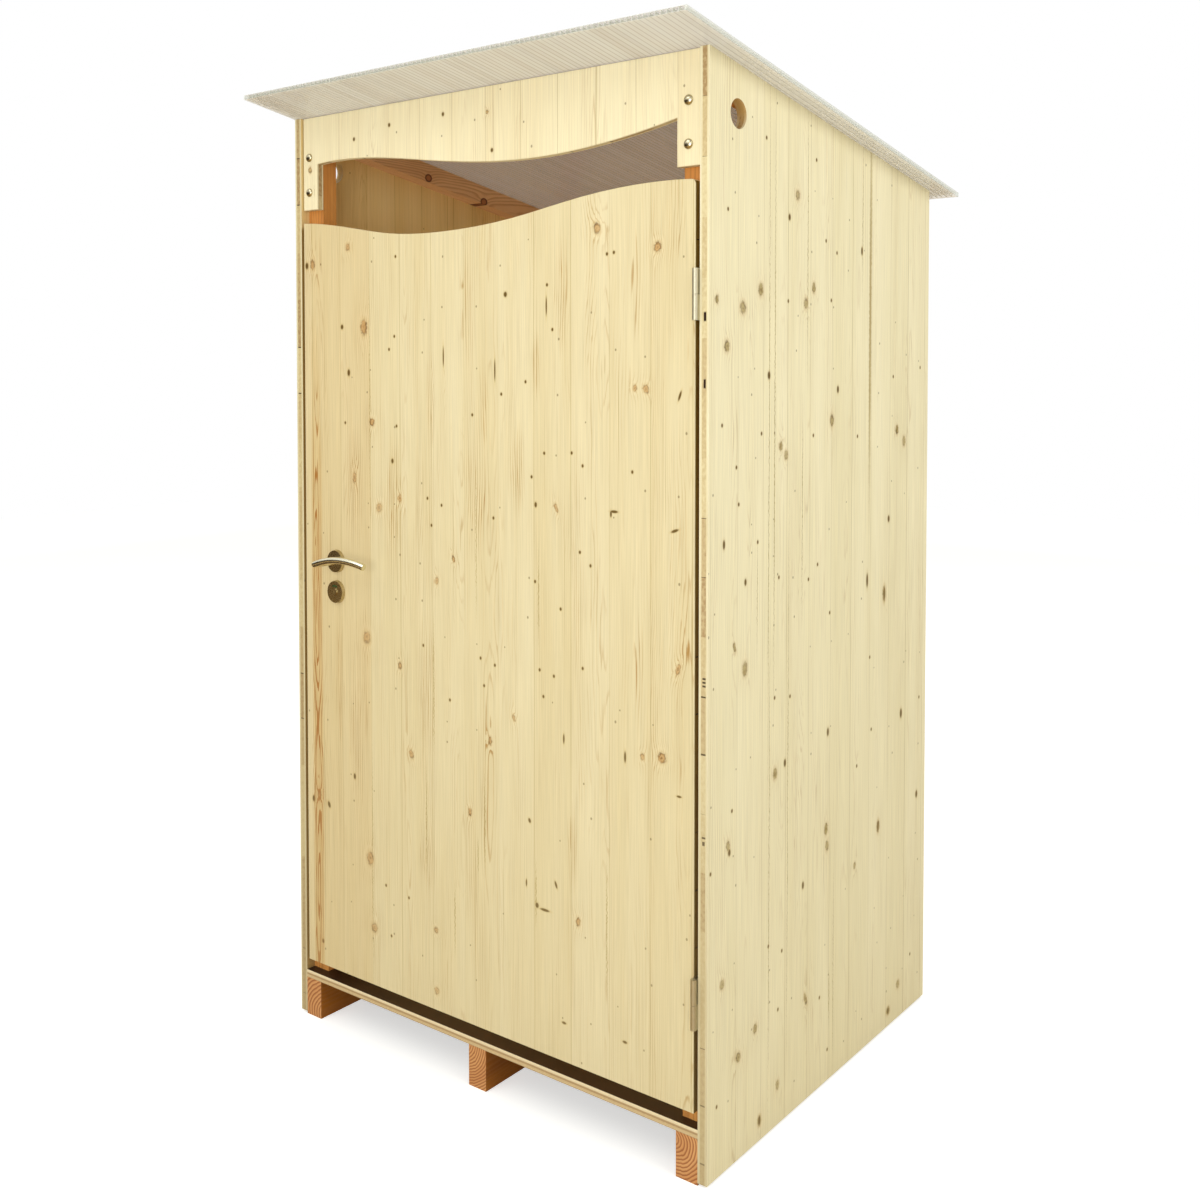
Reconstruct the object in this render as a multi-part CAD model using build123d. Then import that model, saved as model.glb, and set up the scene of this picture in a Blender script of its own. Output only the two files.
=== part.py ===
"""A single cabin outhouse: three-layer spruce panels on runners, a lean-to twin-wall roof and a front door.

Units are millimetres. The origin is on the ground at the middle of the wall footprint, +X runs to the
right along the front, +Y runs from the front to the back and +Z is up. The front faces -Y.
"""
from math import cos, radians, sin, tan
import os

from build123d import *

# ---- Cabin: overall sizes ----------------------------------------------------------------------
cabin_width = 1170.0       # over the outer faces of the side walls
wall_depth = 988.0         # front edge to back edge of a side wall
front_height = 2154.0      # ground to the top of a side wall at the front edge
roof_pitch = 9.1           # degrees, falling to the back
panel = 21.0               # three-layer spruce panel of the side and back walls
front_panel = 19.0         # three-layer spruce panel of the door and the header
edge_break = 1.0           # sanded arris round the door and the header
ground_gap = 5.0           # the wall panels stop this far above the ground

# ---- Base --------------------------------------------------------------------------------------
runner_width = 50.0
runner_height = 90.0
middle_runner_shift = -5.0
floor_thickness = 18.0

# ---- Frame timber ------------------------------------------------------------------------------
post_width = 50.0
post_thickness = 40.0
rafter_depth = 48.0
rafter_width = 42.0

# ---- Roof sheet (twin-wall, its cells run down the slope) --------------------------------------
sheet = 10.0
sheet_skin = 0.7
sheet_web = 0.6
cell_pitch = 12.6
overhang_front = 147.0
overhang_back = 68.0
overhang_left = 2.0
overhang_right = 46.0

# ---- Vent holes in the side walls --------------------------------------------------------------
vent_radius = 29.0
vent_inset = 101.6         # hole centre from the front edge
vent_drop = 94.5           # hole centre below the top edge of the wall

# ---- Header panel over the door ----------------------------------------------------------------
header_side_gap = 3.0
header_drop = 217.0        # tab undersides below the front height
left_tab = 48.0
right_tab = 52.0
# Wavy lower edge between the tabs: share of the span, height above the tab undersides
header_wave = [(0.0, 106), (0.17, 104), (0.415, 71), (0.66, 54), (0.84, 66), (1.0, 93)]

# ---- Door --------------------------------------------------------------------------------------
door_latch_gap = 8.0
door_hinge_gap = 10.0
door_post_gap = 5.0        # back of the door to the front posts
door_floor_gap = 28.0
door_top_drop = 242.0      # highest point of the door below the front height
door_corner = 10.0
# Wavy top edge: share of the width, height below the highest point
door_wave = [(0.0, 6), (0.135, 25), (0.26, 48), (0.405, 55), (0.6, 39), (0.755, 12), (0.87, 0), (1.0, 1)]

# ---- Lift-off hinges on the right edge of the door ---------------------------------------------
hinge_length = 97.0
hinge_inset = 216.0        # hinge centre from the bottom and from the top of the door
barrel_radius = 6.0
barrel_standoff = 7.5      # pin axis in front of the door face
leaf_thickness = 2.5
leaf_width = 18.0          # leaf on the panel edge, behind the door face
leaf_relief = 1.2          # leaf to the other half's barrel
pin_radius = 3.5
pin_play = 0.05
knuckle_gap = 0.6
pin_reach = 38.0           # pin above the lower knuckle
barrel_cap = 5.0

# ---- Privacy lock and levers -------------------------------------------------------------------
lever_height = 975.0       # lever spindle above the underside of the door
lock_gap = 13.0            # front left post to the face of the lock case
case_backset = 54.5        # face of the lock case to the spindles
snib_drop = 72.0           # lever spindle to privacy spindle
rose_radius = 27.0
rose_thickness = 8.0
rose_taper = 1.6           # the face is that much smaller in radius than the foot
spindle_side = 8.0
spindle_hole_radius = 11.0
lever_radius = 7.8
lever_standoff = 62.5      # bar centreline in front of the door face at the elbow
lever_straight = 12.0      # straight start of the bar, past the elbow
lever_reach = 147.0        # spindle axis to the free end
lever_end_standoff = 51.0
lever_rise = 17.0          # degrees, slope of the bar as it leaves the elbow
lever_end_lift = 3.0       # free end above the spindle
lever_inner_standoff = 50.0
running_gap = 0.3
case_thickness = 20.0
case_length = 92.0
case_above = 46.0
case_below = 50.0
case_corner = 4.0
bolt_proud = 2.0
latch_size = (12.0, 20.0)  # across the door, up
latch_lift = 22.0          # latch centre above the spindle
dead_bolt_size = (10.0, 24.0)
dead_bolt_drop = 34.0      # dead bolt centre below the spindle
bolt_depth = 14.0
snib_side = 5.0            # square privacy spindle
snib_hole_radius = 6.0
rose_skin = 2.0            # rose face over the indicator disc
disc_radius = 22.0         # indicator disc in its pocket behind the rose face
disc_thickness = 1.2
disc_play = 0.5
window_radius = 14.5       # middle of the arc window above the release button
window_width = 5.0
window_angle = 56.0        # degrees
button_radius = 8.5
button_proud = 2.5
coin_slot = (12.0, 2.0, 1.6)    # long, wide, deep
coin_slot_turn = 45.0      # degrees from upright when the door is free
turn_length = 30.0         # wing of the inner thumb turn
turn_thickness = 9.0
turn_depth = 14.0
turn_neck_radius = 7.0
turn_neck = 6.0
keep_thickness = 2.5
keep_width = 24.0
keep_margin = 22.0
keep_slot_play = 2.0

# ---- Places worked out from the sizes ----------------------------------------------------------
left = -cabin_width / 2
right = cabin_width / 2
front = -wall_depth / 2
back = wall_depth / 2
inner_left = left + panel
inner_right = right - panel
inner_back = back - panel
fall = tan(radians(roof_pitch))
rafter_drop = rafter_depth / cos(radians(roof_pitch))
floor_top = runner_height + floor_thickness
side = 4 * cabin_width     # larger than anything it cuts

door_left = inner_left + door_latch_gap
door_right = inner_right - door_hinge_gap
door_bottom = floor_top + door_floor_gap
door_top = front_height - door_top_drop
door_back = front + front_panel
frame_front = door_back + door_post_gap
hinge_x = (door_right + inner_right) / 2
hinge_y = front - barrel_standoff
hinge_heights = {"lower": door_bottom + hinge_inset, "upper": door_top - hinge_inset}
post_inner_left = inner_left + post_width
case_left = post_inner_left + lock_gap
case_back = door_back + case_thickness
spindle_x = case_left + case_backset
spindle_z = door_bottom + lever_height
snib_z = spindle_z - snib_drop


def roofline(y):
    """Height of the roof underside over a depth y."""
    return front_height - (y - front) * fall


def slab(x0, x1, y0, y1, z0, z1):
    """A block between two corners."""
    return Pos((x0 + x1) / 2, (y0 + y1) / 2, (z0 + z1) / 2) * Box(x1 - x0, y1 - y0, z1 - z0)


def along_x(points, x0, x1):
    """A profile of (y, z) points run from x0 to x1."""
    outline = make_face(Polyline(*points, close=True))
    return extrude(Plane.YZ.offset(x0) * outline, x1 - x0)


def rod_y(radius, x, z, y0, y1):
    """A round rod along Y."""
    return Pos(x, (y0 + y1) / 2, z) * Rot(90, 0, 0) * Cylinder(radius, y1 - y0)


def broken_edges(board, axis):
    """The sanded arris on every long edge that runs across an axis."""
    faces = board.faces().sort_by(axis)
    return chamfer([*faces[0].edges(), *faces[-1].edges()], edge_break)


def below_roof(drop=0.0):
    """Everything under the roof underside, or under a plane that far below it."""
    low, high = -side, side
    return along_x(
        [(low, -side), (high, -side), (high, roofline(high) - drop), (low, roofline(low) - drop)],
        -side,
        side,
    )


# ---- Walls -------------------------------------------------------------------------------------
def side_wall(x0):
    """A side wall with a sloping top and its vent hole."""
    outline = [(front, ground_gap), (back, ground_gap), (back, roofline(back)), (front, roofline(front))]
    vent_y = front + vent_inset
    vent = Rot(0, 90, 0) * Cylinder(vent_radius, 3 * panel)
    vent = Pos(x0 + panel / 2, vent_y, roofline(vent_y) - vent_drop) * vent
    return along_x(outline, x0, x0 + panel) - vent


def back_wall():
    """The back panel stands between the side walls and closes the ends of the runners."""
    return slab(inner_left, inner_right, inner_back, back, ground_gap, front_height) & below_roof()


def header_panel():
    """The panel over the door: two bolted tabs and a wavy edge between them."""
    x0, x1 = inner_left + header_side_gap, inner_right - header_side_gap
    foot = front_height - header_drop
    wave_left, wave_right = x0 + left_tab, x1 - right_tab
    wave = [(wave_left + share * (wave_right - wave_left), foot + rise) for share, rise in header_wave]
    edge = Spline(*wave)
    rest = Polyline(
        wave[-1], (wave_right, foot), (x1, foot), (x1, front_height), (x0, front_height), (x0, foot),
        (wave_left, foot), wave[0],
    )
    face = make_face([edge, rest])
    board = extrude(Plane.XZ.offset(-frame_front) * face, front_panel) & below_roof()
    return broken_edges(board, Axis.Y)


# ---- Base and frame ----------------------------------------------------------------------------
def runners():
    """Three bearers from front to back."""
    half = runner_width / 2
    centres = {
        "left": inner_left + half,
        "middle": (left + right) / 2 + middle_runner_shift,
        "right": inner_right - half,
    }
    return {
        f"{name}_runner": slab(x - half, x + half, front, inner_back, 0, runner_height)
        for name, x in centres.items()
    }


def floor_board():
    """The floor lies on the runners between the walls."""
    return slab(inner_left, inner_right, front, inner_back, runner_height, floor_top)


def posts():
    """Corner posts from the floor to the rafters. The front pair stands behind the door and the header."""
    under_rafter = below_roof(rafter_drop)
    made = {}
    for x_name, x0 in (("left", inner_left), ("right", inner_right - post_width)):
        for y_name, y0 in (("front", frame_front), ("rear", inner_back - post_thickness)):
            post = slab(x0, x0 + post_width, y0, y0 + post_thickness, floor_top, front_height)
            made[f"{y_name}_{x_name}_post"] = post & under_rafter
    return made


def roof_timber(x0, x1, y0, y1):
    """A timber under the roof sheet that follows the slope."""
    top = [(y1, roofline(y1)), (y0, roofline(y0))]
    underside = [(y, z - rafter_drop) for y, z in reversed(top)]
    return along_x(underside + top, x0, x1)


def rafters():
    """A rafter on each side wall, from the header to the back wall."""
    starts = {"left": inner_left, "right": inner_right - rafter_width}
    return {
        f"{name}_rafter": roof_timber(x0, x0 + rafter_width, frame_front, inner_back)
        for name, x0 in starts.items()
    }


def rear_rail():
    """The rail between the rafters along the top of the back wall."""
    x0, x1 = inner_left + rafter_width, inner_right - rafter_width
    return roof_timber(x0, x1, inner_back - rafter_width, inner_back)


def roof_sheet():
    """Twin-wall sheet: two skins and a web at every cell pitch, extruded down the slope."""
    width = cabin_width + overhang_left + overhang_right
    length = (wall_depth + overhang_front + overhang_back) / cos(radians(roof_pitch))
    cells = int((width - sheet_web) / cell_pitch)
    first = -(cells - 1) * cell_pitch / 2
    cell = Rectangle(cell_pitch - sheet_web, sheet - 2 * sheet_skin)
    section = Rectangle(width, sheet) - [Pos(first + n * cell_pitch, 0) * cell for n in range(cells)]
    flat = Pos(0, 0, sheet / 2) * extrude(Plane.XZ * section, -length)
    start_y = front - overhang_front
    x_mid = (left - overhang_left + right + overhang_right) / 2
    return Pos(x_mid, start_y, roofline(start_y)) * Rot(-roof_pitch, 0, 0) * flat


# ---- Door --------------------------------------------------------------------------------------
def door_panel():
    """The door leaf with its wavy top edge, and the holes for the two spindles."""
    width = door_right - door_left
    wave = [(door_left + share * width, door_top - drop) for share, drop in door_wave]
    face = make_face(
        [Spline(*wave), Polyline(wave[-1], (door_right, door_bottom), (door_left, door_bottom), wave[0])]
    )
    leaf = extrude(Plane.XZ.offset(-door_back) * face, front_panel)
    top_corner = leaf.edges().filter_by(Axis.Y).group_by(Axis.X)[-1].sort_by(Axis.Z)[-1]
    leaf = broken_edges(fillet(top_corner, door_corner), Axis.Y)
    for radius, z in ((spindle_hole_radius, spindle_z), (snib_hole_radius, snib_z)):
        leaf -= rod_y(radius, spindle_x, z, front - front_panel, door_back + front_panel)
    return leaf


# ---- Hinges ------------------------------------------------------------------------------------
def hinge(z):
    """A lift-off hinge: the lower half and its pin stay on the wall, the upper half leaves with the door."""
    low, high = z - hinge_length / 2, z + hinge_length / 2
    relief = barrel_radius + leaf_relief
    leaf_back = front + leaf_width

    def half(z0, z1, x0, x1):
        tongue = slab(x0, x1, hinge_y, hinge_y + relief + leaf_thickness, z0, z1)
        plate = slab(x0, x1, hinge_y + relief, leaf_back, low, high)
        barrel = Pos(hinge_x, hinge_y, (z0 + z1) / 2) * Cylinder(barrel_radius, z1 - z0)
        return barrel + tongue + plate

    frame_half = half(low, z - knuckle_gap / 2, inner_right - leaf_thickness, inner_right)
    pin_foot = z - hinge_length / 4
    pin_top = z + pin_reach
    pin = Pos(hinge_x, hinge_y, (pin_foot + pin_top) / 2) * Cylinder(pin_radius, pin_top - pin_foot)
    frame_half += pin
    door_half = half(z + knuckle_gap / 2, high, door_right, door_right + leaf_thickness)
    bore_top = high - barrel_cap
    bore_foot = z - knuckle_gap
    bore = Cylinder(pin_radius + pin_play, bore_top - bore_foot)
    bore = Pos(hinge_x, hinge_y, (bore_foot + bore_top) / 2) * bore
    return frame_half, door_half - bore


# ---- Privacy lock and levers -------------------------------------------------------------------
def blank_rose(z, base_y, outward):
    """A round rose with a tapered rim, lying on the plane base_y and facing outward."""
    blank = Cone(rose_radius, rose_radius - rose_taper, rose_thickness)
    return Pos(spindle_x, base_y + outward * rose_thickness / 2, z) * Rot(-90 * outward, 0, 0) * blank


def lever_rose(base_y, outward):
    """The rose that a lever neck turns in."""
    bore_radius = lever_radius + running_gap
    bore = rod_y(bore_radius, spindle_x, spindle_z, base_y - rose_thickness, base_y + rose_thickness)
    return blank_rose(spindle_z, base_y, outward) - bore


def lever(base_y, outward, standoff, end_standoff):
    """A bowed round bar, mitred to the neck that carries it through the rose."""
    slope = radians(lever_rise)
    away = Vector(0, outward, 0)
    along = Vector(cos(slope), 0, sin(slope))
    foot = Vector(spindle_x, base_y, spindle_z)
    elbow = foot + away * standoff
    tip = Vector(spindle_x + lever_reach, base_y + outward * end_standoff, spindle_z + lever_end_lift)
    past = 2 * lever_radius
    section = Circle(lever_radius)
    neck = sweep(Plane(foot, z_dir=away) * section, path=Line(foot, elbow + away * past))
    run = Line(elbow - along * past, elbow + along * lever_straight)
    bow = TangentArc(run @ 1, tip, tangent=along)
    bar = sweep(Plane(run @ 0, z_dir=along) * section, path=Wire([run.edge(), bow.edge()]))
    mitre = Plane(elbow, z_dir=away + along)
    return split(neck, bisect_by=mitre, keep=Keep.BOTTOM) + split(bar, bisect_by=mitre, keep=Keep.TOP)


def square_spindle(side_length, z, y0, y1):
    """A square spindle through the door and the lock."""
    half = side_length / 2
    return slab(spindle_x - half, spindle_x + half, y0, y1, z - half, z + half)


def bolt_block(size, z, y_mid, play, x0, x1):
    """A latch or dead bolt block, or with play the space that it needs."""
    across, tall = size[0] + 2 * play, size[1] + 2 * play
    return slab(x0, x1, y_mid - across / 2, y_mid + across / 2, z - tall / 2, z + tall / 2)


bolts = {
    "latch_bolt": (latch_size, spindle_z + latch_lift),
    "dead_bolt": (dead_bolt_size, spindle_z - dead_bolt_drop),
}
bolt_y = (door_back + case_back) / 2


def lock_case():
    """The rim lock on the inside of the door, with the bolts facing the post."""
    case = slab(
        case_left, case_left + case_length, door_back, case_back, snib_z - case_below, spindle_z + case_above
    )
    case = fillet(case.edges().filter_by(Axis.Y).group_by(Axis.X)[-1], case_corner)
    for radius, z in ((spindle_hole_radius, spindle_z), (snib_hole_radius, snib_z)):
        case -= rod_y(radius, spindle_x, z, front, case_back + case_thickness)
    for size, z in bolts.values():
        case -= bolt_block(size, z, bolt_y, 0.0, case_left - bolt_proud, case_left + bolt_depth)
    return case


def lock_bolt(size, z):
    """A bolt drawn back until it stands just proud of the case."""
    return bolt_block(size, z, bolt_y, 0.0, case_left - bolt_proud, case_left + bolt_depth)


def lock_keep():
    """The keep plate on the left front post, with a slot for each bolt."""
    z_low = min(z - size[1] / 2 for size, z in bolts.values()) - keep_margin
    z_high = max(z + size[1] / 2 for size, z in bolts.values()) + keep_margin
    x0, x1 = post_inner_left, post_inner_left + keep_thickness
    plate = slab(x0, x1, frame_front, frame_front + keep_width, z_low, z_high)
    for size, z in bolts.values():
        slot_y = max(bolt_y, frame_front + size[0] / 2 + 2 * keep_slot_play)
        plate -= bolt_block(size, z, slot_y, keep_slot_play, x0 - keep_thickness, x1 + keep_thickness)
    return plate


# Depths of the privacy rose, from its face back to the door
rose_face = front - rose_thickness
disc_front = rose_face + rose_skin + disc_play
disc_back = disc_front + disc_thickness


def at_snib(shape, y):
    """Places a shape, drawn about Z, on the privacy spindle with its top at depth y, facing the front."""
    return Pos(spindle_x, y, snib_z) * Rot(90, 0, 0) * shape


def indicator_rose():
    """The outer privacy rose: an arc window over the release button, and a pocket for the indicator disc."""
    rose = blank_rose(snib_z, front, -1)
    rose -= rod_y(disc_radius + disc_play, spindle_x, snib_z, rose_face + rose_skin, front)
    rose -= rod_y(button_radius + running_gap, spindle_x, snib_z, rose_face, front)
    half = radians(window_angle / 2)
    ends = [(window_radius * sin(turn), window_radius * cos(turn)) for turn in (-half, half)]
    arc = ThreePointArc(ends[0], (0, window_radius), ends[1])
    window = extrude(SlotArc(arc, window_width), 2 * rose_skin, both=True)
    return rose - at_snib(window, rose_face + rose_skin)


def indicator_disc():
    """The disc behind the window, on the square privacy spindle."""
    disc = rod_y(disc_radius, spindle_x, snib_z, disc_front, disc_back)
    return disc - square_spindle(snib_side, snib_z, disc_front, disc_back)


def release_button():
    """The round button with a coin slot that frees the lock from outside."""
    top = button_proud + rose_skin + disc_play
    long, wide, deep = coin_slot
    slot = Pos(0, 0, top / 2) * Rot(0, 0, coin_slot_turn) * Box(wide, long, 2 * deep)
    button = Pos(0, 0, -top / 2) * (Cylinder(button_radius, top) - slot)
    return at_snib(button, rose_face - button_proud)


def thumb_turn():
    """The inner thumb turn: a round neck through its rose and an upright wing with round ends."""
    neck_back = case_back + rose_thickness + turn_neck
    neck = rod_y(turn_neck_radius, spindle_x, snib_z, case_back, neck_back)
    wing = extrude(SlotOverall(turn_length, turn_thickness, rotation=90), turn_depth)
    return neck + at_snib(Pos(0, 0, -turn_depth) * wing, neck_back)


def turn_rose():
    """The inner privacy rose."""
    bore = rod_y(turn_neck_radius + running_gap, spindle_x, snib_z, case_back, case_back + rose_thickness)
    return blank_rose(snib_z, case_back, 1) - bore


# ---- Every node --------------------------------------------------------------------------------
nodes = {
    "left_wall": side_wall(left),
    "right_wall": side_wall(inner_right),
    "back_wall": back_wall(),
    "header_panel": header_panel(),
    "floor_board": floor_board(),
    "rear_rail": rear_rail(),
    "roof_sheet": roof_sheet(),
    "door_panel": door_panel(),
    "lock_case": lock_case(),
    "lock_keep": lock_keep(),
    "outer_lever_rose": lever_rose(front, -1),
    "inner_lever_rose": lever_rose(case_back, 1),
    "outer_lever": lever(front, -1, lever_standoff, lever_end_standoff),
    "inner_lever": lever(case_back, 1, lever_inner_standoff, lever_inner_standoff),
    "lever_spindle": square_spindle(spindle_side, spindle_z, front, case_back),
    "indicator_rose": indicator_rose(),
    "indicator_disc": indicator_disc(),
    "release_button": release_button(),
    "snib_spindle": square_spindle(snib_side, snib_z, disc_front, case_back),
    "thumb_turn": thumb_turn(),
    "turn_rose": turn_rose(),
}
nodes.update(runners())
nodes.update(posts())
nodes.update(rafters())
for hinge_name, hinge_z in hinge_heights.items():
    nodes[f"{hinge_name}_hinge_frame_half"], nodes[f"{hinge_name}_hinge_door_half"] = hinge(hinge_z)
for bolt_name, (bolt_size, bolt_z) in bolts.items():
    nodes[bolt_name] = lock_bolt(bolt_size, bolt_z)

os.makedirs("parts", exist_ok=True)
for name, shape in nodes.items():
    export_step(shape, f"parts/{name}.step")
print(len(nodes), "nodes")
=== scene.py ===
# %% [markdown]
# # A wooden garden outhouse
# A small cabin of three-layer spruce board on three pine runners, with a wavy gap over its door and a
# clear twin-wall sheet for a roof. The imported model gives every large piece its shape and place. What is
# left to make here is what a joiner would see close up: the glued boards with their grain and knots,
# the layers on a cut edge, the year rings on sawn timber, the sheet's frosted walls and the steel fittings.
# Everything below is in metres in the model's own frame, and most sizes are written in millimetres.

# %% Load the frame
import math

import bmesh
import bpy
from mathutils import Matrix, Vector


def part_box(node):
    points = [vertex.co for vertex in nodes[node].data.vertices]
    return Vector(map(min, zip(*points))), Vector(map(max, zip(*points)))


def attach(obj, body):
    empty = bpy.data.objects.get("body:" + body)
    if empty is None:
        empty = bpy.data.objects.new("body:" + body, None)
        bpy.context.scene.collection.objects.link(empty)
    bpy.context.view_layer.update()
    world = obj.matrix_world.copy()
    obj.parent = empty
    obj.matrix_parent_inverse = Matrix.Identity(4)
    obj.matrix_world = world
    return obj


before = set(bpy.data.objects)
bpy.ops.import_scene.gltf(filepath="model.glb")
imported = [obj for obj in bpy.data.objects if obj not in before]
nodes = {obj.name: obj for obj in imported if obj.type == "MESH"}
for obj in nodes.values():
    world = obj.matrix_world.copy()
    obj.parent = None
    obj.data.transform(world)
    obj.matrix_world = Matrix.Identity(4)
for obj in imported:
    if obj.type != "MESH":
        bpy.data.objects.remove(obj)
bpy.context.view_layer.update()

MM = 0.001

# %% [markdown]
# Colours are picked as the sRGB values that any paint program shows, but a shader wants linear light, so
# one function turns the one into the other. One more function adds a shader node with its settings and
# links, which keeps each material readable from top to bottom: a feed may be a plain value, another
# node, whose first output is meant, or one chosen socket. Two nodes come up all the time. A Math node
# adds unless its operation says otherwise. A MapRange takes a value, the two ends of the range it comes
# from and the two ends it goes to, and without these it goes from 0 to 1.


# %% Helpers for colours and shader nodes
def linear(code):
    """An sRGB hex colour as linear RGBA."""
    parts = [int(code[i : i + 2], 16) / 255 for i in (1, 3, 5)]
    return (*(c / 12.92 if c <= 0.04045 else ((c + 0.055) / 1.055) ** 2.4 for c in parts), 1.0)


def add(tree, kind, feeds=(), stops=(), **settings):
    """Adds one node to tree: settings are its properties, feeds its inputs, stops a colour ramp's colours."""
    node = tree.nodes.new(kind if kind.startswith("NodeGroup") else "ShaderNode" + kind)
    for name, value in settings.items():
        setattr(node, name, value)
    for number, (position, colour) in enumerate(stops):
        elements = node.color_ramp.elements
        stop = elements[number] if number < len(elements) else elements.new(position)
        stop.position, stop.color = position, colour
    for key, value in feeds.items() if isinstance(feeds, dict) else enumerate(feeds):
        if isinstance(value, bpy.types.Node):
            value = value.outputs[0]
        if isinstance(value, bpy.types.NodeSocket):
            tree.links.new(value, node.inputs[key])
        elif value is not None:
            node.inputs[key].default_value = value
    return node


def new_material(name):
    """A material with one Principled shader, as (material, its tree, the shader)."""
    material = bpy.data.materials.new(name)
    material.use_nodes = True
    tree = material.node_tree
    tree.nodes.clear()
    shader = add(tree, "BsdfPrincipled")
    add(tree, "OutputMaterial", {"Surface": shader})
    return material, tree, shader


def new_group(name, inputs, outputs):
    """A shader group, as (group, its input node, its output node). Inputs and outputs are name: socket kind."""
    group = bpy.data.node_groups.new(name, "ShaderNodeTree")
    for way, sockets in (("INPUT", inputs), ("OUTPUT", outputs)):
        for socket, kind in sockets.items():
            group.interface.new_socket(socket, in_out=way, socket_type="NodeSocket" + kind)
    return group, add(group, "NodeGroupInput"), add(group, "NodeGroupOutput")


def finish_node(node, material):
    """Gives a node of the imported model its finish, whatever slots it came with."""
    mesh = nodes[node].data
    mesh.materials.clear()
    mesh.materials.append(material)


def grey(value):
    """One step of a colour ramp that serves as a curve."""
    return (value, value, value, 1)


print("white is", [round(c, 2) for c in linear("#ffffff")])

# %% [markdown]
# ## Camera
# The cabin is seen from its front right corner by someone standing two paces away, with the camera held
# nearly level. A lens shift, and next to no tilt, is what keeps tall things from leaning, so the view uses
# one, and only as much as the framing needs.

# %% Camera
camera = bpy.data.objects.new("camera", bpy.data.cameras.new("camera"))
bpy.context.scene.collection.objects.link(camera)
camera.data.sensor_width = 36
camera.data.lens = 39.62
camera.data.shift_y = -0.1477
camera.location = (1.9179, -2.5657, 1.5401)
tilt_down, turn_left = 0.034, 0.654
camera.rotation_euler = (math.pi / 2 - tilt_down, 0, turn_left)
bpy.context.scene.camera = camera
bpy.context.scene.view_settings.view_transform = "Standard"
print("camera", [round(c, 2) for c in camera.location], "lens", camera.data.lens)

# %% [markdown]
# ## Studio
# A white sweep with large soft lamps shows pale wood best: hard light would burn out the boards. The
# world gives the even light of a white room. One wide lamp stands low in front, so that it also reaches
# in through the gap over the door, and one stands high above it. One at the right keeps the side wall as
# bright, and one lights the back. A weak warm one lies low inside and shines up, like a small lamp that
# was left in a dark hut. The floor is a plain pale matt sheet that takes the cabin's shadow, and a little
# light of its own, seen only by the camera, makes it meet the white room.

# %% Floor, world and lamps
floor_mesh = bpy.data.meshes.new("studio_floor")
reach = 12.0
corners = [(-reach, -reach, 0), (reach, -reach, 0), (reach, reach, 0), (-reach, reach, 0)]
floor_mesh.from_pydata(corners, [], [(0, 1, 2, 3)])
studio_floor = bpy.data.objects.new("studio_floor", floor_mesh)
bpy.context.scene.collection.objects.link(studio_floor)

paper, tree, shader = new_material("matt white paper")
shader.inputs["Base Color"].default_value = linear("#efeeea")
shader.inputs["Roughness"].default_value = 0.9
shader.inputs["Specular IOR Level"].default_value = 0.1
seen = add(tree, "LightPath").outputs["Is Camera Ray"]
glow = add(tree, "Emission", {"Color": (1, 1, 1, 1), "Strength": 0.5})
lift = add(tree, "MixShader", {0: seen, 2: glow})
both = add(tree, "AddShader", (shader, lift))
add(tree, "OutputMaterial", {"Surface": both}, is_active_output=True)
floor_mesh.materials.append(paper)

world = bpy.data.worlds.new("white room")
bpy.context.scene.world = world
world.use_nodes = True
tree = world.node_tree
tree.nodes.clear()
path = add(tree, "LightPath")
direct = add(tree, "Math", (path.outputs["Is Camera Ray"], path.outputs["Is Glossy Ray"]), operation="MAXIMUM")
direct = add(tree, "Math", (direct, path.outputs["Is Transmission Ray"]), operation="MAXIMUM")
room = add(tree, "Background", {"Color": linear("#fffdf8"), "Strength": 0.62})
white = add(tree, "Background", {"Color": (1, 1, 1, 1), "Strength": 1.0})
add(tree, "OutputWorld", {"Surface": add(tree, "MixShader", (direct, room, white))})


def lamp(name, place, aim, size, power):
    """A square soft lamp of that size, in metres, shining at aim."""
    light = bpy.data.lights.new(name, "AREA")
    light.size, light.energy = size, power
    thing = bpy.data.objects.new(name, light)
    thing.location = place
    thing.rotation_euler = (Vector(aim) - Vector(place)).to_track_quat("-Z", "Y").to_euler()
    bpy.context.scene.collection.objects.link(thing)
    return thing


lamp("front lamp", (1.5, -4.6, 1.75), (0, -0.5, 1.75), 2.4, 88)
lamp("high lamp", (-1.0, -3.6, 4.6), (0, -0.5, 1.6), 2.6, 45)
lamp("side lamp", (5.0, -0.6, 4.0), (0.5, 0, 1.8), 3.0, 80)
lamp("back lamp", (-2.5, 4.5, 4.5), (0, 0.5, 1.2), 3.0, 60)
inside = lamp("inside lamp", (0, 0, 0.2), (0, 0, 2.0), 0.8, 6.0)
inside.data.color = linear("#fff7ea")[:3]
inside.visible_camera = inside.visible_glossy = False

# %% [markdown]
# Polished steel and glossy plastic look like what they mirror, and a white room alone would leave them
# pale. So brown cards, seen only in reflections, give them something dark: a tan one lies round the cabin
# like dry ground, with a small dark one before the door, and two dark ones stand at the left.

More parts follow.
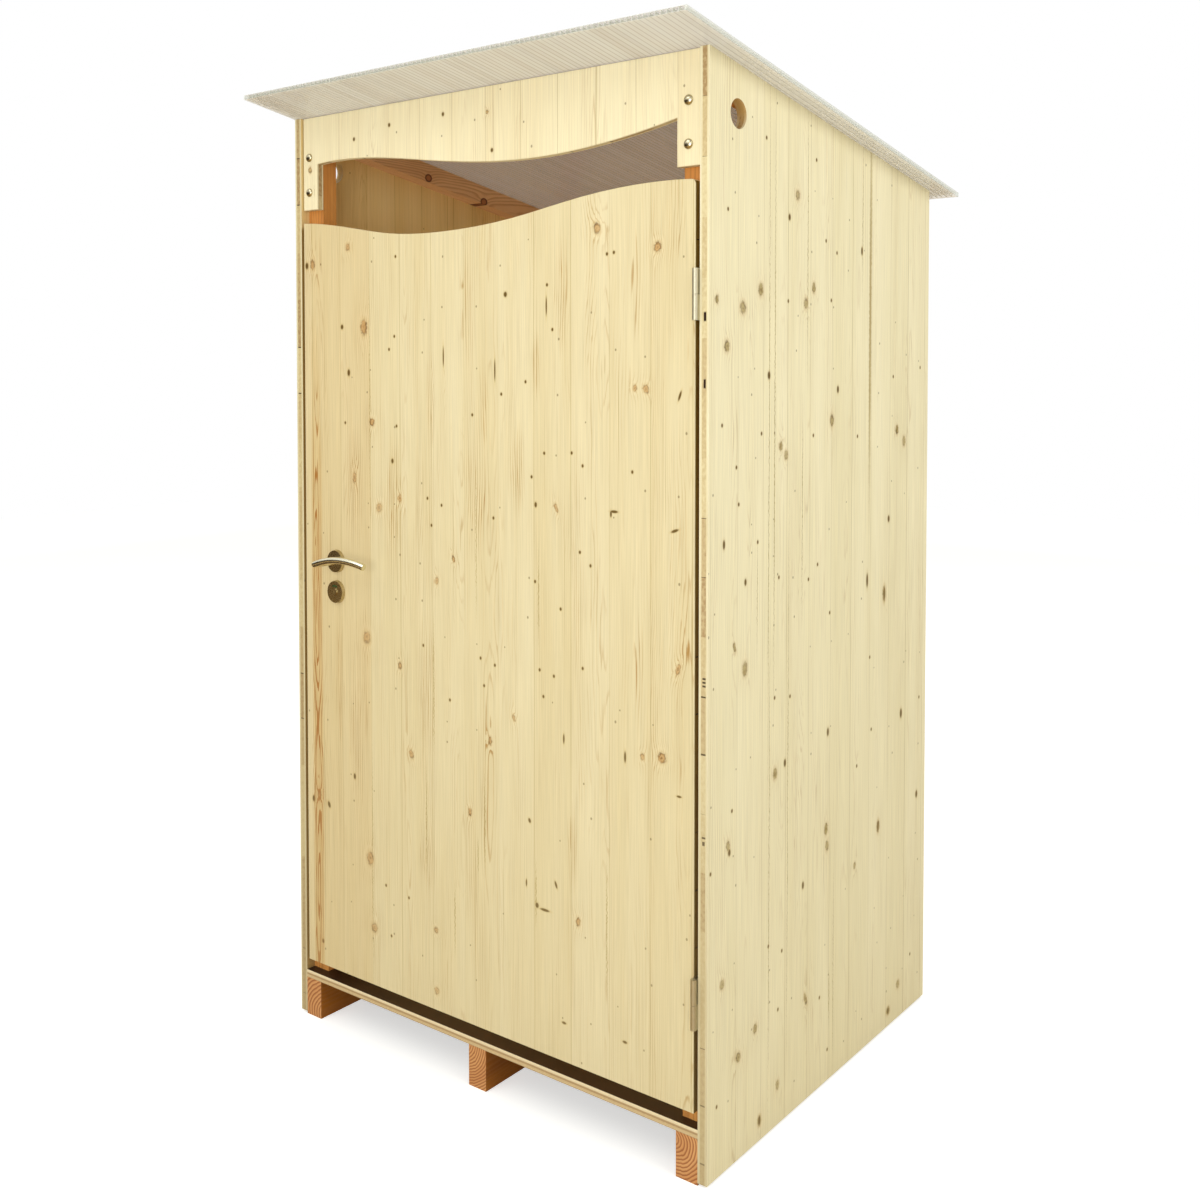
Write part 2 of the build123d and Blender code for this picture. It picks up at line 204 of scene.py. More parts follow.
# %% Reflection cards
for name, tone, corners in (
    ("standing_card", "#4a3a28", [(-8, -1.6, 0), (-2, -7, 0), (-2, -7, 3.4), (-8, -1.6, 3.4)]),
    ("side_card", "#4a3a28", [(-6, 4, 0), (-8, -1.6, 0), (-8, -1.6, 3.4), (-6, 4, 3.4)]),
    ("lying_card", "#c9a568", [(x, y, 0.002) for x, y in ((-9, -9), (9, -9), (9, 9), (-9, 9))]),
    ("near_card", "#4a3622", [
        (x, y, 0.004) for x, y in ((-3.4, -2.2), (-0.9, -2.2), (-0.9, -0.55), (-3.4, -0.55))
    ]),
):
    card, tree, shader = new_material(name.replace("_", " "))
    shader.inputs["Base Color"].default_value = linear(tone)
    shader.inputs["Roughness"].default_value = 0.9
    card_mesh = bpy.data.meshes.new(name)
    card_mesh.from_pydata(corners, [], [(0, 1, 2, 3)])
    card_mesh.materials.append(card)
    thing = bpy.data.objects.new(name, card_mesh)
    bpy.context.scene.collection.objects.link(thing)
    thing.visible_camera = thing.visible_diffuse = thing.visible_shadow = thing.visible_transmission = False
print("stage ready")

# %% [markdown]
# ## Three-layer spruce board
# Walls, door and header are cut from large boards that a mill glues from strips of spruce about a hand
# wide, planed and sanded. Each strip comes from another tree, so at every glue line the grain jumps. What
# the eye reads as grain is one simple thing: a flat cut through round year rings. The group below does that
# cut. It starts by finding which strip a point is on, how far from its middle, and six numbers that are
# drawn by chance for each strip.

# %% Spruce strips, as a shader group
spruce, entry, out = new_group(
    "planed spruce strips",
    {
        "Across": "Float", "Along": "Float", "Joint": "Float", "Width": "Float", "Seed": "Float",
        "Heart": "Float", "Heart line": "Float",
        "Knot": "Float", "Pin": "Float", "Pitch": "Float", "Flame": "Float",
        "Contrast": "Float", "Pale": "Color", "Warm": "Color", "Knot tone": "Color",
    },
    {"Color": "Color", "Grain": "Float", "Roughness": "Float"},
)
across, along, seed = (entry.outputs[name] for name in ("Across", "Along", "Seed"))
knot, heart_strip = entry.outputs["Knot"], entry.outputs["Heart"]

ratio = add(spruce, "Math", (across, entry.outputs["Joint"]), operation="SUBTRACT")
ratio = add(spruce, "Math", (ratio, entry.outputs["Width"]), operation="DIVIDE")
strip = add(spruce, "Math", (ratio,), operation="FLOOR")
local = add(spruce, "Math", (add(spruce, "Math", (ratio,), operation="FRACT"), 0.5), operation="SUBTRACT")
local = add(spruce, "Math", (local, entry.outputs["Width"]), operation="MULTIPLY")
tickets = add(spruce, "CombineXYZ", (strip, seed)), add(spruce, "CombineXYZ", (seed, strip, 7.0))
draws = [add(spruce, "TexWhiteNoise", {"Vector": ticket}).outputs["Color"] for ticket in tickets]
pith_draw, depth_draw, spacing_draw = add(spruce, "SeparateColor", (draws[0],)).outputs
force_draw, warmth_draw, glue_draw = add(spruce, "SeparateColor", (draws[1],)).outputs
print("a strip draws", 3 * len(draws), "numbers")

# %% [markdown]
# Each strip gets its own pith line, some way behind the face and drifting along the height. The
# distance to that line, divided by the ring spacing, gives rings that run straight at the side of a log
# and close into flames over its middle. A knot pushes the rings aside, so its distance field is added to
# the same sum and the lines flow round it. Real spruce has rings 2 to 4 mm apart, which would vanish at this
# size, so they are drawn 4 to 7 mm apart, each strip with its own spacing. Nearly all that is uneven in
# wood is a slow swing, long with the grain and short across it, so one helper makes that from stretched
# noise, and every finish uses it.


# %% Rings round a wandering pith
def drift(tree, side, side_mm, length, length_mm, seed, amount, detail=1.0):
    """A slow swing of plus or minus amount over patches side_mm wide and length_mm long."""
    x = add(tree, "Math", (side, 1 / side_mm), operation="MULTIPLY")
    y = add(tree, "Math", (length, 1 / length_mm), operation="MULTIPLY")
    place = add(tree, "CombineXYZ", (x, y, seed))
    value = add(tree, "TexNoise", {"Vector": place, "Scale": 1.0, "Detail": detail})
    return add(tree, "MapRange", (value, 0.25, 0.75, -amount, amount), clamp=False)


strip_place = add(spruce, "Math", (strip, 40.0), operation="MULTIPLY")
pith = add(spruce, "MapRange", (pith_draw, 0.0, 1.0, -70.0, 70.0))
side = add(spruce, "Math", (local, pith), operation="SUBTRACT")
heart_side = add(spruce, "Math", (across, entry.outputs["Heart line"]), operation="SUBTRACT")
side = add(spruce, "MixRGB", (heart_strip, side, heart_side))
side = add(spruce, "Math", (side, drift(spruce, strip_place, 11, along, 640, seed, 9)))
depth = add(spruce, "MapRange", (depth_draw, 0.0, 1.0, 4.0, 40.0))
depth = add(spruce, "MixRGB", (heart_strip, depth, (7, 7, 7, 1)))
depth = add(spruce, "Math", (depth, drift(spruce, strip_place, 17, along, 420, seed, 13)))
radius = add(spruce, "VectorMath", (add(spruce, "CombineXYZ", (side, depth)),), operation="LENGTH").outputs[1]
ring_push = 7.0
push = add(spruce, "Math", (knot, knot), operation="MULTIPLY")
push = add(spruce, "Math", (push, -0.22), operation="MULTIPLY")
push = add(spruce, "Math", (push,), operation="EXPONENT")
push = add(spruce, "Math", (push, ring_push), operation="MULTIPLY")
long_bend = drift(spruce, across, 60, along, 420, seed, 2.5)
short_bend = drift(spruce, across, 8, along, 150, seed, 1.6, 2.0)
for bend in (push, long_bend, short_bend):
    radius = add(spruce, "Math", (radius, bend))
spacing = add(spruce, "MapRange", (spacing_draw, 0.0, 1.0, 3.8, 7.5))
ring = add(spruce, "Math", (add(spruce, "Math", (radius, spacing), operation="DIVIDE"),), operation="FRACT")
late_wood = ((0.0, grey(0.02)), (0.66, grey(0.06)), (0.86, grey(1)), (0.93, grey(0.8)), (1.0, grey(0.02)))
late = add(spruce, "ValToRGB", (ring,), stops=late_wood)
print("rings 3.8 to 7.5 mm apart, pushed", ring_push, "mm by a knot")

# %% [markdown]
# The dark late wood isn't equally strong everywhere. Each strip has its own force, most of them weak. It
# comes and goes in patches, breaks off along a line, and grows near knots and where a flame was placed.

# %% Strength of the late wood
force = add(spruce, "Math", (force_draw, 2.0), operation="POWER")
force = add(spruce, "MapRange", (force, 0.0, 1.0, 0.25, 0.85))
patch = drift(spruce, across, 32, along, 420, 3.7, 1.0, 2.0)
force = add(spruce, "Math", (force, add(spruce, "Math", (patch, 0.4))), operation="MULTIPLY", use_clamp=True)
broken = drift(spruce, across, 8, along, 130, add(spruce, "Math", (seed, 5.0)), 0.4, 2.0)
force = add(spruce, "Math", (force, add(spruce, "Math", (broken, 0.8))), operation="MULTIPLY", use_clamp=True)
flame = add(spruce, "MapRange", (entry.outputs["Flame"], 1.2, 0.4))
flame = add(spruce, "Math", (flame, add(spruce, "Math", (broken, 0.85))), operation="MULTIPLY", use_clamp=True)
force = add(spruce, "Math", (force, flame), operation="MAXIMUM")
near_knot = add(spruce, "Math", (push, 1 / ring_push), operation="MULTIPLY")
near_knot = add(spruce, "Math", (near_knot, 0.35), operation="POWER")
force = add(spruce, "Math", (force, add(spruce, "Math", (near_knot, 0.45), operation="MULTIPLY")))
force = add(spruce, "Math", (force, entry.outputs["Contrast"]), operation="MULTIPLY")
late = add(spruce, "Math", (late, force), operation="MULTIPLY", use_clamp=True)
print("late wood after", len(spruce.nodes), "shader nodes")

# %% [markdown]
# Planed spruce is pale cream, and each strip is a little warmer or cooler than the next. Over that lie the
# late wood, a few thin brown lines, fine streaks, the glue lines and the pitch lines that were placed. Only
# some glue lines show, because many strips match.

# %% Colours, glue lines and pitch
warmth = add(spruce, "MapRange", (warmth_draw, 0.0, 1.0, 0.2, 0.8))
warmth = add(spruce, "Math", (warmth, drift(spruce, across, 40, along, 600, 9.1, 0.35, 2.0)))
colour = add(spruce, "MixRGB", (warmth, entry.outputs["Pale"], entry.outputs["Warm"]), use_clamp=True)
colour = add(spruce, "MixRGB", (late, colour, linear("#a97f40")))
line = drift(spruce, across, 2.4, along, 900, seed, 1.0, 2.0)
line = add(spruce, "MapRange", (line, 0.5, 0.9, 0.0, 0.9))
lined = add(spruce, "Math", (add(spruce, "Math", (patch, 0.3)), flame))
line = add(spruce, "Math", (line, lined), operation="MULTIPLY", use_clamp=True)
line = add(spruce, "Math", (line, entry.outputs["Contrast"]), operation="MULTIPLY")
colour = add(spruce, "MixRGB", (line, colour, linear("#9c7d40")))
streak = drift(spruce, across, 2.6, along, 190, seed, 0.09, 3.0)
colour = add(spruce, "VectorMath", {0: colour, "Scale": add(spruce, "Math", (streak, 1.0))}, operation="SCALE")

half_strip = add(spruce, "Math", (entry.outputs["Width"], 0.5), operation="MULTIPLY")
edge = add(spruce, "Math", (local,), operation="ABSOLUTE")
edge = add(spruce, "Math", (edge, half_strip), operation="SUBTRACT")
glue = add(spruce, "MapRange", (edge, -1.2, -0.5))
glue_seen = add(spruce, "MapRange", (glue_draw, 0.3, 0.8, 0.05, 0.6))
glue = add(spruce, "Math", (glue, glue_seen), operation="MULTIPLY")
pitch = add(spruce, "MapRange", (entry.outputs["Pitch"], 1.1, 0.4, 0.0, 0.75))
glue = add(spruce, "Math", (glue, pitch), operation="MAXIMUM")
colour = add(spruce, "MixRGB", (glue, colour, linear("#9a7f3a")))
print("boards after", len(spruce.nodes), "shader nodes")

# %% [markdown]
# Pin knots, the marks of twigs, sit everywhere and follow no plan, so a cell pattern scatters small
# ones. The ones that catch the eye are placed on each panel, like the large knots.

# %% Scattered pin knots
cell_width, cell_height, mean_cell = 78.0, 96.0, 86.0
cell = add(spruce, "CombineXYZ", (
    add(spruce, "Math", (across, 1 / cell_width), operation="MULTIPLY"),
    add(spruce, "Math", (along, 1 / cell_height), operation="MULTIPLY"),
    seed,
))
scatter = add(spruce, "TexVoronoi", {"Vector": cell, "Scale": 1.0}, voronoi_dimensions="2D")
chance = add(spruce, "SeparateColor", (scatter.outputs["Color"],))
size = add(spruce, "MapRange", (chance.outputs[1], 0.0, 1.0, 1.6, 2.6))
kept = add(spruce, "Math", (chance.outputs[0], 0.62), operation="GREATER_THAN")
size = add(spruce, "Math", (add(spruce, "Math", (size, kept), operation="MULTIPLY"), 0.001))
speck = add(spruce, "Math", (scatter.outputs["Distance"], mean_cell), operation="MULTIPLY")
speck = add(spruce, "Math", (speck, size), operation="DIVIDE")
speck_mask = add(spruce, "MapRange", (speck, 1.3, 0.7, 0.0, 0.62))
print("pin knots in cells of", cell_width, "x", cell_height, "mm")

# %% [markdown]
# A placed knot lies in a pale halo and a narrow brown one. Its outline is frayed, and it is
# darker on one side than on the other, because a branch leaves the trunk at a slant.

# %% Sound knots and placed pins
halo = add(spruce, "MapRange", (knot, 2.6, 1.4, 0.0, 0.16))
colour = add(spruce, "MixRGB", (halo, colour, linear("#efdfb4")))
halo = add(spruce, "MapRange", (knot, 1.7, 1.1, 0.0, 0.3))
colour = add(spruce, "MixRGB", (halo, colour, linear("#bf9d62")))
blotch = add(spruce, "Math", (knot, drift(spruce, across, 4, along, 6, seed, 0.2, 2.0)))
knot_mask = add(spruce, "MapRange", (blotch, 1.1, 0.75))
vigour = add(spruce, "Math", (drift(spruce, across, 34, along, 60, 6.3, 0.25), 0.78))
one_sided = add(spruce, "Math", (blotch, drift(spruce, across, 12, along, 20, 4.1, 0.4)))
knot_mask = add(spruce, "Math", (knot_mask, vigour), operation="MULTIPLY", use_clamp=True)
knot_shades = (
    (0.0, linear("#8f6d3a")), (0.15, linear("#b8955c")), (0.4, linear("#cdb07a")),
    (0.6, linear("#b7945b")), (0.8, linear("#86662f")), (1.0, linear("#65491d")),
)
knot_colour = add(spruce, "ValToRGB", (one_sided,), stops=knot_shades)
knot_colour = add(spruce, "MixRGB", (1.0, knot_colour, entry.outputs["Knot tone"]), blend_type="MULTIPLY")
colour = add(spruce, "MixRGB", (knot_mask, colour, knot_colour))
halo = add(spruce, "MapRange", (entry.outputs["Pin"], 2.2, 1.2, 0.0, 0.3))
colour = add(spruce, "MixRGB", (halo, colour, linear("#c2a254")))
pin_mask = add(spruce, "MapRange", (entry.outputs["Pin"], 1.4, 0.8, 0.0, 0.96))
pin_mask = add(spruce, "Math", (pin_mask, speck_mask), operation="MAXIMUM")
colour = add(spruce, "MixRGB", (pin_mask, colour, linear("#5d440c")))
rough = add(spruce, "MapRange", (late, 0.0, 1.0, 0.66, 0.52))
spruce.links.new(colour.outputs[0], out.inputs["Color"])
spruce.links.new(late.outputs[0], out.inputs["Grain"])
spruce.links.new(rough.outputs[0], out.inputs["Roughness"])
print("spruce group", len(spruce.nodes), "shader nodes")

# %% [markdown]
# A cut edge shows how the board is built: two long-grain outer layers and a cross layer between them. On
# an edge the cross layer is a row of strip ends, some pale, some brown, and where two strips did not meet
# there is a void, painted dark as painted shade inside the hole. A thin pale band along each face is a
# painted highlight on the arris. One group makes that edge for every panel from two numbers: how deep the
# point lies in the board, and how far along the edge it is.

# %% Board edge, as a shader group
edge_group, entry, out = new_group(
    "cut edge of three-layer board",
    {"Depth": "Float", "Run": "Float", "Seed": "Float", "Void shade": "Float"},
    {"Color": "Color"},
)
depth, run, seed = (entry.outputs[name] for name in ("Depth", "Run", "Seed"))
middle = add(edge_group, "Math", (depth, 0.5), operation="SUBTRACT")
middle = add(edge_group, "Math", (middle,), operation="ABSOLUTE")
core = add(edge_group, "MapRange", (middle, 0.28, 0.22))
ratio = add(edge_group, "Math", (add(edge_group, "Math", (run, 1 / 112.0), operation="MULTIPLY"), seed))
ticket = add(edge_group, "CombineXYZ", (add(edge_group, "Math", (ratio,), operation="FLOOR"), seed))
draw = add(edge_group, "TexWhiteNoise", {"Vector": ticket})
draw = add(edge_group, "SeparateColor", (draw.outputs["Color"],))
outer_tone = add(edge_group, "Math", (drift(edge_group, depth, 0.16, run, 170, seed, 0.5, 2.0), 0.4))
layer = add(edge_group, "MixRGB", (outer_tone, linear("#efe1b8"), linear("#dac597")), use_clamp=True)
end_tone = add(edge_group, "Math", (draw.outputs[0], drift(edge_group, depth, 0.3, run, 9, seed, 0.3, 2.0)))
ends = add(edge_group, "ValToRGB", (end_tone,), stops=(
    (0.0, linear("#e0cc9c")), (0.45, linear("#cfb685")), (0.8, linear("#c2a678")), (1.0, linear("#ad8c5f")),
))
colour = add(edge_group, "MixRGB", (core, layer, ends))
# A thin pale band along each face is a painted highlight on the arris.
rim = add(edge_group, "MapRange", (middle, 0.41, 0.47, 0.0, 0.35))
colour = add(edge_group, "MixRGB", (rim, colour, linear("#f4ead0")))
near_joint = add(edge_group, "Math", (ratio,), operation="FRACT")
near_joint = add(edge_group, "Math", (near_joint, 0.5), operation="SUBTRACT")
near_joint = add(edge_group, "Math", (near_joint,), operation="ABSOLUTE")
gap = add(edge_group, "MapRange", (draw.outputs[1], 0.6, 1.0, 0.5, 0.47))
void_shade = add(edge_group, "Math", (near_joint, gap), operation="GREATER_THAN")
placed_void_shade = add(edge_group, "MapRange", (entry.outputs["Void shade"], 1.1, 0.8))
void_shade = add(edge_group, "Math", (void_shade, placed_void_shade), operation="MAXIMUM")
void_shade = add(edge_group, "Math", (void_shade, core), operation="MULTIPLY")
# A void in the cross layer is painted dark: painted shade inside the hole.
colour = add(edge_group, "MixRGB", (void_shade, colour, linear("#2c1808")))
edge_group.links.new(colour.outputs[0], out.inputs["Color"])
print("edge group", len(edge_group.nodes), "shader nodes")

# %% [markdown]
# Every finish from here on needs to know where a point is on its own piece, in millimetres, and which way
# the surface looks there. The places are read on the piece itself and not in the room, so the grain
# swings with the door.


# %% Places and directions on a piece
def own_place(tree):
    """Where a point is on its own piece, in mm, and which way its surface looks, each as its x, y and z."""
    spot = add(tree, "TexCoord")
    place = add(tree, "VectorMath", {0: spot.outputs["Object"], "Scale": 1 / MM}, operation="SCALE")
    normal = add(tree, "SeparateXYZ", (spot.outputs["Normal"],))
    return add(tree, "SeparateXYZ", (place,)).outputs, normal.outputs


def looks_along(tree, part, least):
    """1 where the surface looks along an axis, either way: where that part of its direction is over least."""
    part = add(tree, "Math", (part,), operation="ABSOLUTE")
    return add(tree, "Math", (part, least), operation="GREATER_THAN")


print("one metre reads as", 1 / MM)

# %% [markdown]
# A mark is (across, up, half width, half height), with a lean in degrees where it has one. There are many
# marks on a panel, so each is kept cheap: one node stretches the plane until the mark is a circle of radius
# one, one measures the distance to it, and one keeps the smaller of this and the last. The voids in a cut
# edge have square corners, so for those the longer side counts and not the distance.


# %% Marks
def mark_field(tree, place, marks, square=False):
    """How far a point is from the nearest mark, in mark radii. Marks with one lean share one turned plane."""
    field, turned_place = 99.0, {0: place}
    for x, z, half_width, half_height, *lean in marks:
        lean = lean[0] if lean else 0
        c, s = math.cos(math.radians(lean)), math.sin(math.radians(lean))
        if lean not in turned_place:
            new_x = add(tree, "VectorMath", (place, (c, s, 0)), operation="DOT_PRODUCT").outputs[1]
            new_z = add(tree, "VectorMath", (place, (-s, c, 0)), operation="DOT_PRODUCT").outputs[1]
            turned_place[lean] = add(tree, "CombineXYZ", (new_x, new_z))
        x, z = x * c + z * s, z * c - x * s
        spot = add(tree, "VectorMath", (
            turned_place[lean], (1 / half_width, 1 / half_height, 0), (-x / half_width, -z / half_height, 0),
        ), operation="MULTIPLY_ADD")
        if square:
            sides = add(tree, "SeparateXYZ", (add(tree, "VectorMath", (spot,), operation="ABSOLUTE"),))
            far = add(tree, "Math", (sides.outputs[0], sides.outputs[1]), operation="MAXIMUM")
        else:
            far = add(tree, "VectorMath", (spot,), operation="LENGTH").outputs[1]
        field = add(tree, "Math", (far, field), operation="MINIMUM")
    return field


def round_pins(*places, size=2.5):
    """Pin knots of one size, a little taller than wide, at (across, up)."""
    return [(x, z, size, size * 1.25) for x, z in places]


print("a round pin", round_pins((0, 0)))

# %% [markdown]
# Three things belong to some panels only. The door's first strip comes from the heart of a log: beside the
# pith line it is red and full of resin, most of all low down. The bore of a vent is painted browner, most of
# all at the top: painted shade that falls inside the hole. And where the door shuts, the crack is painted
# dark on both sides of it: painted shade in the narrow gap.


# %% Heartwood, vents and the crack round the door
VENT_RADIUS, DOOR_TOP, CRACK_DEPTH = 29.0, 1900.0, 30.0


def red_heart(tree, side, up, pith_line):
    """How red the heartwood is, from 1 beside the pith line to 0 at 20 mm from it."""
    off_pith = add(tree, "Math", (side, pith_line), operation="SUBTRACT")
    off_pith = add(tree, "Math", (off_pith,), operation="ABSOLUTE")
    band = add(tree, "MapRange", (off_pith, 20.0, 13.0))
    fade = add(tree, "MapRange", (up, 1650.0, 1150.0, 0.12, 0.85))
    fade = add(tree, "Math", (fade, drift(tree, side, 12, up, 140, 2.0, 0.22, 2.0)))
    return add(tree, "Math", (band, fade), operation="MULTIPLY", use_clamp=True)


def painted_bore_shade(tree, flat_place, up, vent):
    """How much painted shade browns the bore of a vent, most of all at its top. The vent is given by its
    middle, (across, up).
    """
    off_middle = add(tree, "VectorMath", (flat_place, (*vent, 0)), operation="DISTANCE").outputs[1]
    bore = add(tree, "Math", (off_middle, VENT_RADIUS + 7), operation="LESS_THAN")
    upward_shade = add(tree, "MapRange", (up, vent[1] - 26, vent[1] + 8, 0.1, 0.85))
    return add(tree, "Math", (bore, upward_shade), operation="MULTIPLY")


def painted_crack_shade(tree, axis, place, normal, indoors, front):
    """How much painted shade darkens the crack round the door: on the door's own side edges, and on the inner
    face beside them.
    """
    if axis == 0:
        behind_face = add(tree, "MapRange", (place[1], front + 1, front + 3))
        return add(tree, "Math", (behind_face, looks_along(tree, normal[0], 0.7)), operation="MULTIPLY")
    crack = add(tree, "Math", (place[1], front + CRACK_DEPTH), operation="LESS_THAN")
    crack = add(tree, "Math", (indoors, crack), operation="MULTIPLY")
    below_door_top = add(tree, "MapRange", (place[2], DOOR_TOP, DOOR_TOP - 10))
    return add(tree, "Math", (crack, below_door_top), operation="MULTIPLY")


print("vents of", 2 * VENT_RADIUS, "mm")

# %% [markdown]
# The material itself is the same for all panels. It hands the places and the marks to the two groups, takes
# the face from one and the cut edge from the other by the direction of the surface, and then darkens the
# whole: the inner faces are painted browner, as painted shade of the dim room, and faces and edges are
# painted darker and duller towards the ground, partly as splashed soil and partly as painted shade. A
# renderer works out a relief by reading it at three neighbouring points, so that gets a light pattern of
# its own and not the marks: the ripple that planing and sanding leave in soft early wood.


# %% Panel material
def spruce_panel(
    name, node, axis, joint, seed, pale, warm, contrast=1.0, width=98.0, inward=0, knots=(), pins=(), pitch=(),
    flames=(), voids=(), rim_tint="#f7fcff", knot_tone="#f4f4f0", crack_shade_tint=None, heart=None, vent=None,
):
    """The finish of a spruce panel whose width runs along axis 0 or 1, with its first glue line at joint.
    Inward is the sign of its inner face. Heart is (pith line, end of that strip, end of the warm strips).
    Flames are places where the saw ran along the year rings, so that the grain stands out."""
    material, tree, shader = new_material(name)
    low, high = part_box(node)
    place, normal = own_place(tree)
    side, up, through = place[axis], place[2], place[1 - axis]
    flat_place = add(tree, "CombineXYZ", (side, up))
    noise = add(tree, "TexNoise", {"Vector": flat_place, "Scale": 0.13, "Detail": 2.0}).outputs["Color"]
    shake = add(tree, "VectorMath", (noise, (6, 6, 0), (-3, -3, 0)), operation="MULTIPLY_ADD")
    shaken_place = add(tree, "VectorMath", (flat_place, shake))

    pith_line, strip_end, warm_end = heart or (0.0, 0.0, 0.0)
    first_strip = 0.0
    if heart:
        first_strip = add(tree, "Math", (side, strip_end), operation="LESS_THAN")
        red = red_heart(tree, side, up, pith_line)
        contrast = add(tree, "MapRange", (red, 0.0, 1.0, contrast, contrast + 3.2))
    face = add(tree, "Group", {
        "Across": side, "Along": up, "Joint": joint, "Width": width, "Seed": seed, "Contrast": contrast,
        "Pale": linear(pale), "Warm": linear(warm), "Knot tone": linear(knot_tone),
        "Heart": first_strip, "Heart line": pith_line,
        "Knot": mark_field(tree, shaken_place, knots), "Pin": mark_field(tree, flat_place, pins),
        "Pitch": mark_field(tree, shaken_place, pitch), "Flame": mark_field(tree, flat_place, flames),
    }, node_tree=spruce)

    layer = add(tree, "MapRange", (through, low[1 - axis] / MM, high[1 - axis] / MM))
    run = add(tree, "Math", (side, up))
    edge_place = add(tree, "CombineXYZ", (run, through))
    rim = add(tree, "Group", {
        "Depth": layer, "Run": run, "Seed": seed, "Void shade": mark_field(tree, edge_place, voids, square=True),
    }, node_tree=edge_group)
    rim_colour = add(tree, "MixRGB", (1.0, rim.outputs["Color"], linear(rim_tint)), blend_type="MULTIPLY")
    # Towards the ground the cut edges are painted darker: partly splashed soil, partly painted shade.
    low_edge_soil_and_shade = add(tree, "MapRange", (up, 1200.0, 100.0, 0.0, 0.45))
    rim_colour = add(tree, "MixRGB", (low_edge_soil_and_shade, rim_colour, linear("#a08e68")))
    if vent:
        # The bore of a vent is painted browner towards its top: painted shade inside the hole.
        rim_colour = add(tree, "MixRGB", (painted_bore_shade(tree, flat_place, up, vent), rim_colour, linear("#bd9450")))

    outward = normal[1 - axis]
    faces_in = "GREATER_THAN" if inward > 0 else "LESS_THAN"
    indoors = add(tree, "Math", (outward, 0.6 * inward), operation=faces_in)
    # Inner faces are painted browner: painted shade of the dim room.
    indoor_shade = add(tree, "Math", (indoors, 0.7 * abs(inward)), operation="MULTIPLY")
    colour = add(tree, "MixRGB", (indoor_shade, face.outputs["Color"], linear("#f2dfb6")), blend_type="MULTIPLY")
    if heart:
        warm_side = add(tree, "Math", (side, warm_end), operation="LESS_THAN")
        colour = add(tree, "MixRGB", (warm_side, colour, linear("#f9f3ea")), blend_type="MULTIPLY")
        colour = add(tree, "MixRGB", (red, colour, linear("#fdf4e1")), blend_type="MULTIPLY")
        resin = add(tree, "Math", (red, face.outputs["Grain"]), operation="MULTIPLY")
        resin = add(tree, "Math", (resin, 0.85), operation="MULTIPLY")
        colour = add(tree, "MixRGB", (resin, colour, linear("#a3682a")))
    colour = add(tree, "MixRGB", (looks_along(tree, outward, 0.6), rim_colour, colour))
    if crack_shade_tint:
        # The crack round the door is painted dark: painted shade in the narrow gap.
        crack = painted_crack_shade(tree, axis, place, normal, indoors, low.y / MM)
        colour = add(tree, "MixRGB", (crack, colour, linear(crack_shade_tint)), blend_type="MULTIPLY")
    # Towards the ground the faces are painted darker and duller: partly splashed soil, partly painted shade.
    low_soil_and_shade = add(tree, "MapRange", (up, 1500.0, 0.0, 0.0, 0.26))
    colour = add(tree, "MixRGB", (low_soil_and_shade, colour, linear("#b9a87c")))

    ripple = add(tree, "CombineXYZ", (
        add(tree, "Math", (side, 1 / 2.2), operation="MULTIPLY"),
        add(tree, "Math", (up, 1 / 90.0), operation="MULTIPLY"),
        add(tree, "Math", (through, 1 / 2.2), operation="MULTIPLY"),
    ))
    ripple = add(tree, "TexNoise", {"Vector": ripple, "Scale": 1.0, "Detail": 2.0})
    bump = add(tree, "Bump", {"Strength": 0.3, "Distance": 0.0005, "Height": ripple})
    tree.links.new(colour.outputs[0], shader.inputs["Base Color"])
    tree.links.new(face.outputs["Roughness"], shader.inputs["Roughness"])
    tree.links.new(bump.outputs[0], shader.inputs["Normal"])
    shader.inputs["IOR"].default_value = 1.45
    shader.inputs["Specular IOR Level"].default_value = 0.22
    finish_node(node, material)
    print(name, "on", node, "-", len(knots) + len(pins) + len(pitch) + len(voids), "placed marks")


# %% [markdown]
# The door has the most marks: sound knots with flames over them, dozens of pins, a few cracks where a
# knot tore the planed face, and the red heart strip down its lock side.

# %% Door
door_knots = [
    (322, 1835, 9, 12, 20), (468, 1790, 9, 10, -20), (-350, 1655, 11, 18), (-403, 1841, 7, 9),
    (-325, 1439, 8, 9), (-526, 1807, 8, 13), (-384, 1310, 6, 14), (-303, 1245, 9, 11, -20),
    (-236, 1270, 6, 9), (-121, 1095, 5, 9), (-346, 942, 12, 15), (-238, 892, 6, 9), (517, 984, 5, 12, -20),
    (441, 1519, 7, 9, 20), (415, 1520, 5, 7), (-339, 430, 11, 16), (-326, 271, 10, 12), (-514, 545, 7, 12),
    (35, 767, 5, 10), (-24, 602, 6, 9), (274, 436, 6, 10), (480, 809, 10, 11), (434, 803, 5, 7),
    (-203, 697, 7, 11, 20), (-126, 180, 7, 9), (-128, 316, 7, 7), (218, 1275, 4, 10, 20),
    (-71, 1148, 4, 9, 20), (102, 827, 4, 8, 20),
]
